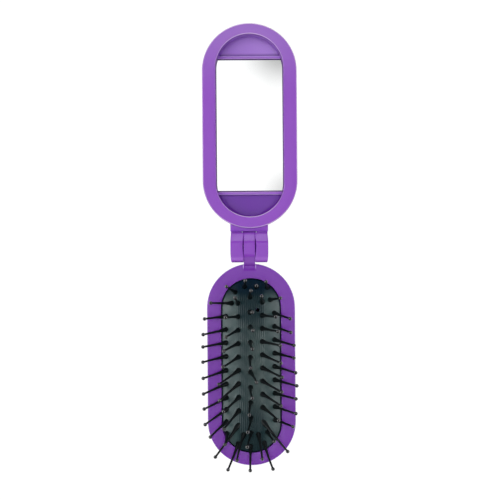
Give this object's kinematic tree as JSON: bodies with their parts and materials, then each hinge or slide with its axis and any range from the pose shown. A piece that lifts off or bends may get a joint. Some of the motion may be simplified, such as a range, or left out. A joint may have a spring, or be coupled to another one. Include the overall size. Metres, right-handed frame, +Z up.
{
  "type": "folding hair brush with mirror",
  "caption": "Pocket hair brush that folds on a knuckle hinge: an oval shell with a mirror in a deep recess, and an oval shell with a rubber pad of ball-tipped pins that rises and fans out as it opens.",
  "frame": {"origin": "on the table, straight under the middle of the open brush", "axes": "+Z up out of the pad and the mirror, +Y from the brush half to the mirror half, +X across; the hinge axis runs along X"},
  "size_m": [0.0408, 0.182, 0.036],
  "materials": {
    "purple_plastic": "satin gloss, evenly coloured",
    "dark_purple_plastic": "plain moulded",
    "mirror_glass": "silvered glass",
    "tape_foam": "white foam tape",
    "steel": "plain drawn steel",
    "grey_rubber": "matte dark grey-green",
    "black_plastic": "glossy moulded pins with ball tips"
  },
  "bodies": {
    "brush_half": {"brush_back_shell": "purple_plastic", "brush_front_frame": "purple_plastic", "pad_clamp_ring": "dark_purple_plastic", "pad_border": "grey_rubber", "bow_leaf": "steel", "hinge_pin": "steel"},
    "mirror_half": {"mirror_back_shell": "purple_plastic", "mirror_tray": "purple_plastic", "mirror_glass": "mirror_glass", "mirror_tape": "tape_foam"},
    "shoe": {"push_shoe": "dark_purple_plastic"},
    "middle_pins": {"centre_pin_strip": "black_plastic"},
    "inner_left_pins": {"inner_left_pin_strip": "black_plastic"},
    "inner_right_pins": {"inner_right_pin_strip": "black_plastic"},
    "outer_left_pins": {"outer_left_pin_strip": "black_plastic"},
    "outer_right_pins": {"outer_right_pin_strip": "black_plastic"},
    "far_pins": {"far_pin_fan": "black_plastic"},
    "near_pins": {"near_pin_fan": "black_plastic"}
  },
  "joints": [
    {"name": "fold", "type": "hinge", "parent": "brush_half", "child": "mirror_half", "pos_m": [0, -0.00023, 0.0168], "axis": [1, 0, 0], "range_deg": [0, 180]},
    {"name": "pad_sink", "type": "slide", "parent": "brush_half", "child": "middle_pins", "axis": [0, 0, -1], "range_m": [0, 0.0083], "deforming": ["pad_border", "bow_leaf"]},
    {"name": "shoe_slide", "type": "slide", "parent": "brush_half", "child": "shoe", "axis": [0, 1, 0], "range_m": [0, 0.0045]},
    {"name": "inner_left_flatten", "type": "hinge", "parent": "middle_pins", "child": "inner_left_pins", "pos_m": [-0.00246, -0.04718, 0.0195], "axis": [0, 1, 0], "range_deg": [0, 26]},
    {"name": "inner_right_flatten", "type": "hinge", "parent": "middle_pins", "child": "inner_right_pins", "pos_m": [0.00246, -0.04718, 0.0195], "axis": [0, -1, 0], "range_deg": [0, 26]},
    {"name": "outer_left_flatten", "type": "hinge", "parent": "inner_left_pins", "child": "outer_left_pins", "pos_m": [-0.00739, -0.04718, 0.0171], "axis": [0, 1, 0], "range_deg": [0, 18]},
    {"name": "outer_right_flatten", "type": "hinge", "parent": "inner_right_pins", "child": "outer_right_pins", "pos_m": [0.00739, -0.04718, 0.0171], "axis": [0, -1, 0], "range_deg": [0, 18]},
    {"name": "far_fan_flatten", "type": "hinge", "parent": "middle_pins", "child": "far_pins", "pos_m": [0, -0.07418, 0.0195], "axis": [-1, 0, 0], "range_deg": [0, 25]},
    {"name": "near_fan_flatten", "type": "hinge", "parent": "middle_pins", "child": "near_pins", "pos_m": [0, -0.02018, 0.0195], "axis": [1, 0, 0], "range_deg": [0, 8]}
  ],
  "couplings": [
    {"joint": "pad_sink", "follows": "fold", "m_per_rad": 0.00264},
    {"joint": "shoe_slide", "follows": "fold", "m_per_rad": 0.00143},
    {"joint": "inner_left_flatten", "follows": "fold", "ratio": 0.1444},
    {"joint": "inner_right_flatten", "follows": "fold", "ratio": 0.1444},
    {"joint": "outer_left_flatten", "follows": "fold", "ratio": 0.0999},
    {"joint": "outer_right_flatten", "follows": "fold", "ratio": 0.0999},
    {"joint": "far_fan_flatten", "follows": "fold", "ratio": 0.1388},
    {"joint": "near_fan_flatten", "follows": "fold", "ratio": 0.0444}
  ]
}
